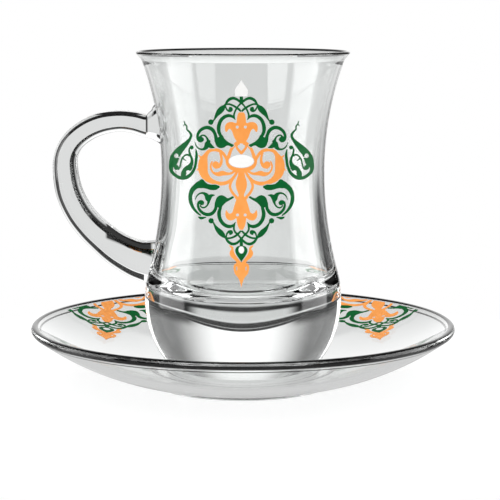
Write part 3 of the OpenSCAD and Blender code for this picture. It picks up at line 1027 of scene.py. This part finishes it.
    def stations(self) -> list[tuple[float, ...]]:
        """Lists the handle's stations: out from the axis, up from the cup's foot, thickness and depth.

        Returns:
            The stations in millimetres, upper root first.
        """
        return [
            (22.5, 79.4, 17.0, 8.6),
            (26.2, 79.2, 13.8, 8.6),
            (28.4, 78.9, 9.4, 8.5),
            (30.8, 78.8, 7.0, 8.4),
            (34.6, 79.8, 6.5, 8.4),
            (39.2, 80.2, 6.4, 8.4),
            (44.9, 79.3, 6.8, 8.4),
            (49.9, 77.0, 6.9, 8.4),
            (53.8, 73.6, 7.0, 8.4),
            (56.0, 69.2, 7.2, 8.4),
            (56.2, 64.1, 7.6, 8.4),
            (55.1, 57.6, 8.1, 8.4),
            (52.3, 51.5, 8.4, 8.4),
            (48.7, 46.8, 8.8, 8.4),
            (45.1, 43.4, 9.2, 8.5),
            (40.2, 39.5, 10.2, 8.5),
            (34.5, 36.5, 11.5, 8.6),
            (30.4, 35.4, 12.9, 8.7),
            (26.0, 34.8, 15.0, 8.8),
        ]

    def section(self) -> list[Point]:
        """Lists the handle's section in shares of its thickness and depth, once round.

        The front has a flat panel with a bevel on both sides of it, and the back is plain.

        Returns:
            Share across, inner side of the loop first, and share back, for each point.
        """
        inner = [
            (0.0, 0.5), (0.1, 0.5), (0.22, 0.5), (0.25, 0.487), (0.33, 0.395), (0.36, 0.38),
            (0.455, 0.362), (0.488, 0.335), (0.5, 0.28), (0.5, 0.15), (0.5, 0.0),
        ]
        outer = [
            (0.0, 0.5), (0.15, 0.5), (0.26, 0.5), (0.29, 0.487), (0.365, 0.4), (0.395, 0.385),
            (0.455, 0.365), (0.49, 0.33), (0.5, 0.25), (0.5, 0.12), (0.5, 0.0),
        ]
        back = [
            (0.0, 0.5), (0.2, 0.5), (0.36, 0.5), (0.43, 0.485), (0.475, 0.44), (0.495, 0.38),
            (0.5, 0.3), (0.5, 0.15), (0.5, 0.0),
        ]
        inner, outer, back = (glide(part, self.section_steps) for part in (inner, outer, back))
        return [
            *[(across, -depth) for across, depth in inner],
            *[(across, depth) for across, depth in reversed(back[:-1])],
            *[(-across, depth) for across, depth in back[1:]],
            *[(-across, -depth) for across, depth in reversed(outer[1:-1])],
        ]

    def handle(self) -> bpy.types.Object:
        """Sweeps the handle.

        Returns:
            The closed handle, with its ends inside the bowl's wall.
        """
        fine = glide(self.stations(), self.handle_steps)
        source = wire_object("handle_path", [(-out, 0.0, up + self.lift) for out, up, _, _ in fine])
        for name, index in (("thick", 2), ("deep", 3)):
            stored = source.data.attributes.new(name, "FLOAT", "POINT")
            stored.data.foreach_set("value", [station[index] * MM for station in fine])
        section = self.section()
        drawn = wire_object("handle_section", [(across, depth, 0.0) for across, depth in section])
        tree = self.sweep
        values = {
            tree.stations: len(fine),
            tree.sides: len(section),
            tree.section: drawn,
            tree.finish: self.finish,
        }
        made = run_tree(source, tree.tree, values)
        bpy.data.objects.remove(drawn)
        close_up(made)
        return made

    def core(self) -> bpy.types.Object:
        """Turns a plug that reaches into the bowl's wall, to cut the handle's ends off there.

        Returns:
            The closed plug.
        """
        depth = self.wall * self.root_share
        wall = [(radius, height) for radius, height in self.outside() if height > self.core_from]
        skin = [(radius - depth, height) for radius, height in wall]
        plug = [(0.0, skin[0][1]), *skin, (0.0, skin[-1][1])]
        return self.turn("core", self.raised(plug), self.core_facets)

    def build(self) -> bpy.types.Object:
        """Makes the cup's glass and puts it in place of the CAD solids.

        Returns:
            The glass cup.
        """
        made = self.turn("cup_glass", self.raised(self.outside() + self.inside()), self.facets)
        handle = self.handle()
        combine(handle, self.core(), "DIFFERENCE")
        combine(made, handle, "UNION")
        close_up(made)
        smooth(made)
        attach(made, Body.CUP.value)
        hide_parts("cup_bowl", "cup_handle")
        return made


@dataclass
class Print:
    """The fired enamel on both pieces of glass, which keeps the CAD solids."""

    nodes: dict[str, Ink]

    def dress(self) -> None:
        """Gives each enamel solid its colour."""
        finishes = {ink: ink.value.make() for ink in set(self.nodes.values())}
        for name, ink in self.nodes.items():
            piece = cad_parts[name]
            for slot in piece.material_slots:
                slot.material = finishes[ink]
            LOG.info("%s dressed in %s", name, ink.value.name)


@dataclass(frozen=True)
class Panel:
    """A soft-edged light panel of the room, by the directions it fills in degrees.

    Directions go sideways from straight behind the object, the same left and right, and up from the
    horizon.
    """

    light: float
    side_from: float
    side_to: float
    rise_from: float
    rise_to: float
    side_soft: float
    rise_soft: float

    def glow(self, side: Expr, rise: Expr) -> Expr:
        """Works out the panel's light in one direction.

        Args:
            side: How far sideways the direction is.
            rise: How far up it is.

        Returns:
            The light, 0 outside the panel.
        """
        half_side = self.side_soft / 2
        half_rise = self.rise_soft / 2
        across = 1 - side.above(self.side_to - half_side, self.side_to + half_side)
        if self.side_from > 0:
            across = across * side.above(self.side_from - half_side, self.side_from + half_side)
        low = rise.above(self.rise_from - half_rise, self.rise_from + half_rise)
        high = 1 - rise.above(self.rise_to - half_rise, self.rise_to + half_rise)
        return across * low * high * self.light


@dataclass(frozen=True)
class Lamp:
    """A soft lamp in front of the object: how far to the right in metres, and its power in watts."""

    name: str
    right: float
    power: float


@dataclass
class Studio:
    """Camera, floor, lamps and the white room round the object."""

    focal_px: float = 1860.64
    image_px: float = 500.0
    axis_px: float = 243.0
    sensor: float = 36.0
    camera_back: float = 587.72
    camera_up: float = 123.77
    camera_tilt: float = 7.835
    floor_r: float = 150.0
    floor_sides: int = 96
    floor_drop: float = 0.05
    floor_matt: float = 0.35
    floor_glow: float = 0.75
    lamps: tuple[Lamp, ...] = (Lamp("soft_left", -0.7, 3.0), Lamp("soft_right", 0.8, 2.0))
    lamp_wide_m: float = 0.5
    lamp_high_m: float = 0.7
    lamp_front_m: float = 0.6
    lamp_up_m: float = 0.7
    aim_up_m: float = 0.05
    bounces: int = 14
    clear_bounces: int = 32
    room_light: float = 0.98
    dark: float = 0.01
    # Light of each panel, its directions from and to, sideways and up, and how soft its edges are.
    back_wall: Panel = Panel(0.74, 0.0, 20.0, -9.0, 1.0, 8.0, 4.0)
    high_wall: Panel = Panel(1.2, 0.0, 20.0, 1.0, 42.0, 30.0, 4.0)
    far_floor: Panel = Panel(0.8, 0.0, 32.0, -15.0, -9.0, 8.0, 4.0)
    side_floor: Panel = Panel(0.6, 32.0, 200.0, -15.0, -10.0, 8.0, 4.0)
    near_floor: Panel = Panel(0.62, 0.0, 200.0, -50.0, -15.0, 8.0, 4.0)
    under_floor: Panel = Panel(0.55, 0.0, 200.0, -100.0, -50.0, 8.0, 6.0)
    strips: Panel = Panel(3.2, 66.0, 108.0, -10.0, 36.0, 5.0, 4.0)
    low_strips: Panel = Panel(0.5, 66.0, 108.0, -34.0, -10.0, 5.0, 8.0)
    front: Panel = Panel(0.5, 150.0, 190.0, -10.0, 20.0, 8.0, 6.0)
    side_wall: Panel = Panel(0.16, 20.0, 60.0, 1.0, 30.0, 30.0, 4.0)

    def camera(self) -> None:
        """Places the camera at the photo's angle."""
        data = bpy.data.cameras.new("camera")
        data.sensor_fit = "HORIZONTAL"
        data.sensor_width = self.sensor
        data.lens = self.sensor * self.focal_px / self.image_px
        data.shift_x = (self.image_px / 2 - self.axis_px) / self.image_px
        made = bpy.data.objects.new("camera", data)
        made.location = (0.0, -self.camera_back * MM, self.camera_up * MM)
        made.rotation_euler = (math.radians(90 - self.camera_tilt), 0.0, 0.0)
        bpy.context.scene.collection.objects.link(made)
        bpy.context.scene.camera = made

    def floor(self) -> None:
        """Lays a round pale floor that stays white and keeps the object's shadow."""
        work = bmesh.new()
        bmesh.ops.create_circle(work, cap_ends=True, segments=self.floor_sides, radius=self.floor_r * MM)
        mesh = bpy.data.meshes.new("floor")
        work.to_mesh(mesh)
        work.free()
        made = bpy.data.objects.new("floor", mesh)
        made.location = (0.0, 0.0, -self.floor_drop * MM)
        bpy.context.scene.collection.objects.link(made)
        mesh.materials.append(self.floor_finish())

    def floor_finish(self) -> bpy.types.Material:
        """Makes the floor's material, which glass looks straight through to the room's own floor light.

        Returns:
            The finished material.
        """
        material, graph = fresh_material("pale_floor")
        path = graph.node("ShaderNodeLightPath")
        straight = graph.read(path, "Is Camera Ray")
        bent = self.seen(graph, path) * (1 - straight)
        shade = (self.floor_matt,) * 3
        matt = graph.node("ShaderNodeBsdfDiffuse", None, {"Color": (*shade, 1.0)})
        shine = {"Color": WHITE, "Strength": straight * self.floor_glow}
        glow = graph.node("ShaderNodeEmission", None, shine)
        both = graph.node("ShaderNodeAddShader", None, {0: matt.outputs[0], 1: glow.outputs[0]})
        clear = graph.node("ShaderNodeBsdfTransparent")
        mixed = graph.node("ShaderNodeMixShader", None, {0: bent, 1: both.outputs[0], 2: clear.outputs[0]})
        graph.node("ShaderNodeOutputMaterial", None, {"Surface": mixed.outputs[0]})
        return material

    def seen(self, graph: Graph, path: bpy.types.Node) -> Expr:
        """Says whether a ray is one that is seen: straight, mirrored or through glass.

        Args:
            graph: The shader's graph.
            path: Its Light Path node.

        Returns:
            1 for a seen ray, 0 for one that only brings light.
        """
        straight = graph.read(path, "Is Camera Ray")
        mirrored = graph.read(path, "Is Glossy Ray")
        through = graph.read(path, "Is Transmission Ray")
        return straight.maths("MAXIMUM", straight, mirrored.maths("MAXIMUM", mirrored, through))

    def room(self) -> None:
        """Makes the room: plain white to the camera, panels with soft dark gaps to glass."""
        world = bpy.data.worlds.new("white_room")
        world.use_nodes = True
        world.node_tree.nodes.clear()
        bpy.context.scene.world = world
        graph = Graph(world.node_tree)
        path = graph.node("ShaderNodeLightPath")
        x, y, z = graph.split(graph.node("ShaderNodeTexCoord").outputs["Generated"])
        side = x.maths("ARCTAN2", abs(x), y) * PER_RADIAN
        rise = z.maths("ARCSINE", z) * PER_RADIAN
        walls = (self.back_wall, self.high_wall)
        floors = (self.far_floor, self.side_floor, self.near_floor, self.under_floor)
        sides = (self.strips, self.low_strips, self.side_wall, self.front)
        panels: Number = self.dark
        for panel in (*walls, *floors, *sides):
            panels = panels + panel.glow(side, rise)
        straight = graph.read(path, "Is Camera Ray")
        seen = self.seen(graph, path)
        strength = straight + (1 - straight) * (seen * panels + (1 - seen) * self.room_light)
        light = graph.node("ShaderNodeBackground", None, {"Color": WHITE, "Strength": strength})
        graph.node("ShaderNodeOutputWorld", None, {"Surface": light.outputs[0]})

    def hang_lamps(self) -> None:
        """Hangs the soft lamps in front, aimed at the cup."""
        for lamp in self.lamps:
            data = bpy.data.lights.new(lamp.name, "AREA")
            data.shape = "RECTANGLE"
            data.size = self.lamp_wide_m
            data.size_y = self.lamp_high_m
            data.energy = lamp.power
            made = bpy.data.objects.new(lamp.name, data)
            made.location = (lamp.right, -self.lamp_front_m, self.lamp_up_m)
            aim = -made.location
            aim.z += self.aim_up_m
            made.rotation_euler = aim.to_track_quat("-Z", "Y").to_euler()
            bpy.context.scene.collection.objects.link(made)

    def set_up(self) -> None:
        """Makes the whole studio."""
        self.camera()
        self.floor()
        self.room()
        self.hang_lamps()
        scene = bpy.context.scene
        scene.view_settings.view_transform = "Standard"
        scene.cycles.max_bounces = self.bounces
        scene.cycles.transmission_bounces = self.bounces
        scene.cycles.glossy_bounces = self.bounces
        scene.cycles.transparent_max_bounces = self.clear_bounces


def main() -> None:
    """Builds the cup, the saucer and the studio, and logs the face count of each piece of glass."""
    logging.basicConfig(level=logging.INFO, format="%(name)s: %(message)s")
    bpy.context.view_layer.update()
    lathe = LatheTree()
    sweep = SweepTree()
    dish_glass = GlassFinish("clear_saucer_glass", saucer_painted_edges()).make()
    cup_glass = GlassFinish("clear_cup_glass", cup_painted_edges()).make()
    for piece in (Saucer(lathe, dish_glass), Cup(lathe, cup_glass, sweep)):
        made = piece.build()
        LOG.info("%s built with %d faces", made.name, len(made.data.polygons))
    Print(
        {
            "cup_print_green": Ink.GREEN,
            "cup_print_orange": Ink.ORANGE,
            "cup_print_white": Ink.WHITE,
            "saucer_print_green": Ink.GREEN,
            "saucer_print_orange": Ink.ORANGE,
        }
    ).dress()
    Studio().set_up()
    LOG.info("studio set up")


if __name__ == "__main__":
    main()
